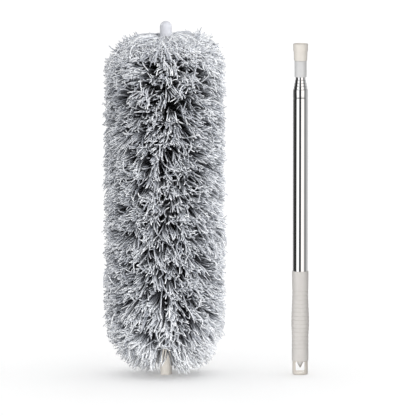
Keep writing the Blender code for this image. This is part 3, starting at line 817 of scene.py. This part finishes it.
def strand_paths():
    """Points of every strand, root to tip, where it is sewn, and the painted light and shade at each point.
    """
    chance = np.random.default_rng(41)
    row, column = (grid.ravel() for grid in np.indices((ROWS, TUFTS_A_ROW)))
    tufts = row.size
    tuft_share = (row + 0.5 + chance.uniform(-0.45, 0.45, tufts)) / ROWS
    tuft_turn = (column + row * 0.5 + chance.uniform(-0.45, 0.45, tufts)) / TUFTS_A_ROW * math.tau
    tuft_tone, tuft_rise, tuft_lean, tuft_swirl = chance.normal(0, 1, (4, tufts))
    own = np.repeat(np.arange(tufts), STRANDS_A_TUFT)
    count = own.size

    def spread(amount):
        return chance.normal(0, amount, count)

    share = np.clip(tuft_share[own] + spread(0.2) / ROWS, 0.003, 0.997)
    turn = tuft_turn[own] + spread(0.2) / TUFTS_A_ROW * math.tau
    top = fade(share, 0.86, 0.14)
    foot = np.clip(1 - share / 0.16, 0, 1)
    stray = chance.random(count) < 0.1
    root_z = backing_foot + (backing_top - backing_foot) * share
    tip_share = (share + TIP_FAN * np.sin(math.tau * share) / math.tau
                 - TIP_DROOP * np.sin(math.pi * share))
    tip_share += spread(0.0055) * (1 + 2 * stray) + tuft_rise[own] * 0.011 - 0.09 * top ** 1.5
    tip_share = np.clip(np.abs(tip_share), 0, 1)
    reach = 1.0 - np.abs(tuft_swirl[own]) * 0.05 - np.abs(spread(0.035)) * (1 + 2 * foot + 2 * top)
    reach += (0.03 + 0.04 * top) * stray
    tip_r = np.interp(tip_share, outline_run, outline_r)
    tip_z = np.interp(tip_share, outline_run, outline_z)
    tip_r = SLEEVE_OUTSIDE + (tip_r - SLEEVE_OUTSIDE) * reach
    tip_z = root_z + (tip_z - root_z) * reach
    sideways = spread(0.4) * (1 + 2.5 * stray) * (1 + 1.5 * top) + tuft_lean[own] * 0.6
    tip_turn = turn + sideways / TUFTS_A_ROW * math.tau - PARTING * np.sin(2 * turn)
    rise = np.radians(6 + 38 * top - 16 * foot + spread(12))
    fall = np.radians(-16 + 6 * top - 22 * foot + tuft_rise[own] * 12 + spread(10) * (1 + 2 * stray))
    chord = np.hypot(tip_r - SLEEVE_OUTSIDE, tip_z - root_z)
    u = STRAND_SHARES[None, :]

    def waves(size, slowest, quickest, number):
        swing = size * chance.uniform(0.2, 1.0, (2, number, 1)) * u[None] ** 2
        turns = chance.uniform(slowest, quickest, (2, number, 1)) * u[None]
        turns = turns + chance.uniform(0, 1, (2, number, 1))
        return swing * np.sin(math.tau * turns)

    def bezier(start, leave, arrive, end):
        return ((1 - u) ** 3 * start[:, None] + 3 * u * (1 - u) ** 2 * leave[:, None]
                + 3 * u ** 2 * (1 - u) * arrive[:, None] + u ** 3 * end[:, None])

    root_r = np.full(count, SLEEVE_OUTSIDE - ROOT_SINK)
    r = bezier(root_r, root_r + chord * 0.4 * np.cos(rise), tip_r - chord * 0.35 * np.cos(fall), tip_r)
    z = bezier(root_z, root_z + chord * 0.4 * np.sin(rise), tip_z - chord * 0.35 * np.sin(fall), tip_z)
    ceiling = np.interp(r, outline_r[::-1][:ARC_POINTS], outline_z[::-1][:ARC_POINTS])
    wild = np.minimum(np.abs(spread(1.0)), 1.3)[:, None] * top[:, None]
    z = np.where(z > ceiling, ceiling + (0.3 + 0.1 * wild) * (z - ceiling), z)
    z = z + DOME_LIFT * wild * u ** 7
    gather = fade(u, 0.15, 0.85) ** 1.4
    angle = turn[:, None] * (1 - gather) + tip_turn[:, None] * gather
    shift = waves(CLUMP_WAVE, 0.3, 0.8, tufts)[:, own] + waves(STRAND_WAVE, 0.4, 1.0, count)
    shift += waves(CRIMP, 1.5, 2.8, count) * (1 + 3 * top)[None, :, None]
    hook = np.clip(chance.normal(0, HOOK, (2, count, 1)), -HOOK_LIMIT, HOOK_LIMIT)
    shift += hook * (1 + np.maximum(stray, 0.8 * top))[None, :, None] * u[None] ** 11
    angle = angle + shift[0] / np.maximum(r, 0.02)
    z = z + shift[1]
    aside, ahead = r * np.cos(angle), -r * np.sin(angle)
    arch = 1 - fade(np.abs(aside), ARCH_HALF_WIDTH, ARCH_FADE)
    arch *= (ahead > ARCH_DEPTH) & (chance.random((count, 1)) < 0.93)
    arch_height = (ARCH_HEIGHT - np.abs(spread(0.002)))[:, None] + ahead * math.tan(VIEW_ELEVATION)
    z = z + arch * np.maximum(arch_height - z, 0)
    z = z + PILE_TILT * np.maximum(aside, 0) * (fade(z, 0.36, 0.06) - fade(z, 0.07, -0.05))
    z = np.maximum(z, FLOOR_GAP)
    points = np.stack([head_x + aside - PILE_SWAY * r, -ahead, z], axis=-1)
    # Painted shade: the deeper a point lies below the pile's outline, the darker. Painted light: paler near
    # the foot and the top.
    light = 1 - depth_below(r, z) / PAINTED_SHADE_DEPTH
    light += 0.26 * fade(z, 0.1, -0.08) + 0.12 * fade(z, 0.36, 0.06)
    light = np.clip(light, 0, 1)
    # Painted light on the fringe: strands whose tips hang near the floor get a paler tone.
    tone = 0.62 + 0.1 * tuft_tone[own] + spread(0.32) + 0.3 * fade(z[:, -1], 0.05, -0.04)
    tone = np.clip(tone, 0.02, 0.98)
    return points, root_z, turn % math.tau, light, tone


def strand_object(name, points, light, tone, finish):
    """Draw strands as round threads. Their map holds the painted shade, from how near the surface, and each
    strand's tone.
    """
    curve = bpy.data.curves.new(name, "CURVE")
    curve.dimensions = "3D"
    curve.bevel_depth = STRAND_RADIUS
    curve.bevel_resolution = 0
    for path in points:
        spline = curve.splines.new("POLY")
        spline.points.add(STRAND_POINTS - 1)
        spline.points.foreach_set("co", np.c_[path, np.ones(STRAND_POINTS)].astype(np.float32).ravel())
        spline.points.foreach_set("radius", STRAND_TAPER)
    drawing = new_object(name + "_drawing", curve)
    graph = bpy.context.evaluated_depsgraph_get()
    mesh = bpy.data.meshes.new_from_object(drawing.evaluated_get(graph))
    bpy.data.objects.remove(drawing)
    skin = bmesh.new()
    skin.from_mesh(mesh)
    bmesh.ops.holes_fill(skin, edges=skin.edges, sides=STRAND_SIDES)
    skin.to_mesh(mesh)
    skin.free()
    mesh.name = name
    mesh.shade_smooth()
    mesh.materials.clear()
    mesh.materials.append(finish)
    vertex = np.zeros(len(mesh.loops), np.int64)
    mesh.loops.foreach_get("vertex_index", vertex)
    corner, along = vertex % STRAND_SIDES, vertex // STRAND_SIDES
    ring, strand = along % STRAND_POINTS, along // STRAND_POINTS
    side_faces = len(points) * STRAND_SIDES * (STRAND_POINTS - 1)
    side_loops = side_faces * 4
    u = light[strand, ring] * 0.94 + 0.02 + ring * 0.002
    u[side_loops:] += 0.004 * (corner[side_loops:] > 1)
    v = tone[strand] * 0.96 + 0.02 + corner * 0.0006
    for layer in list(mesh.uv_layers):
        mesh.uv_layers.remove(layer)
    chart = mesh.uv_layers.new(name="OFBake")
    chart.data.foreach_set("uv", np.c_[u, v].astype(np.float32).ravel())
    return new_object(name, mesh)


def strand_finish():
    """Microfibre with painted shade, light at the surface and dark in the depth, each strand with its own
    tone.
    """
    material, nodes, shader = new_material("microfibre")
    chart = nodes.add("ShaderNodeUVMap", {"uv_map": "OFBake"})
    light = nodes.add("ShaderNodeSeparateXYZ", inputs={"Vector": chart}, output="X")
    tone = nodes.add("ShaderNodeSeparateXYZ", inputs={"Vector": chart}, output="Y")
    # Both ramps paint shade by depth below the pile's outline, one for pale strands and one for grey ones.
    pale = nodes.add("ShaderNodeValToRGB", {"stops": (
        (0.0, (0.028, 0.028, 0.034)), (0.3, (0.072, 0.074, 0.086)), (0.5, (0.21, 0.218, 0.24)),
        (0.7, (0.57, 0.59, 0.625)), (0.88, (0.93, 0.945, 0.965)),
        (1.0, (0.95, 0.96, 0.975)))}, {0: light})
    grey = nodes.add("ShaderNodeValToRGB", {"stops": (
        (0.0, (0.02, 0.02, 0.026)), (0.3, (0.043, 0.045, 0.055)), (0.5, (0.09, 0.096, 0.112)),
        (0.7, (0.23, 0.245, 0.28)), (0.88, (0.41, 0.43, 0.48)),
        (1.0, (0.48, 0.5, 0.55)))}, {0: light})
    nodes.feed(shader, {
        "Base Color": nodes.mix(tone, grey, pale), "Roughness": 0.75,
        "Sheen Weight": 0.25, "Sheen Roughness": 0.4})
    return material


STRAND_TRIANGLES = 2 * STRAND_SIDES * (STRAND_POINTS - 1) + 4
PIECE_TRIANGLES = 190000
microfibre = strand_finish()
# The lights hold each point's painted light and shade, the tones each strand's own tone.
paths, roots, turns, lights, tones = strand_paths()
zone = np.searchsorted(length_ends[1:3], roots)
for number, nodes_here in enumerate(CORE_NODES):
    chosen = np.flatnonzero(zone == number)
    parts = math.ceil(len(chosen) * STRAND_TRIANGLES / PIECE_TRIANGLES)
    chosen = chosen[np.argsort(turns[chosen])]
    for part, members in enumerate(np.array_split(chosen, parts)):
        name = f"strands_{number + 1}_{'abcd'[part]}"
        strands = strand_object(name, paths[members], lights[members], tones[members], microfibre)
        bend_with(strands, number)
        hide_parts(*[f"pile_{n}" for n in nodes_here])


# --- Keys ---
# The head is lit mostly from its right and the pole from its left. The stub and the loop's window
# have a lamp each. Seven lamps light the floor alone, and only the pole stands in the way of six.

def light_only(lamp, pieces):
    """Let a lamp shine on some pieces only."""
    receivers = bpy.data.collections.new(lamp.name + "_receivers")
    for piece in pieces:
        receivers.objects.link(piece)
    lamp.light_linking.receiver_collection = receivers


of_head = [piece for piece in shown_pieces() if body_of(piece)[0].startswith("head")]
of_pole = [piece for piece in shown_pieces() if piece not in of_head]
for key in (head_key, head_fill, head_front, low_light):
    light_only(key, [piece for piece in of_head if piece is not stub])
light_only(pole_key, of_pole)
light_only(foot_light, [stub])
light_only(window_light, [hang_loop, end_plug])
for key in (top_light, back_light):
    light_only(key, of_head + of_pole)
for key in (floor_light, *floor_ring):
    light_only(key, [studio_floor])
pole_shadow = bpy.data.collections.new("pole_shadow")
for piece in of_pole:
    pole_shadow.objects.link(piece)
for key in (foot_light, *floor_ring):
    key.light_linking.blocker_collection = pole_shadow
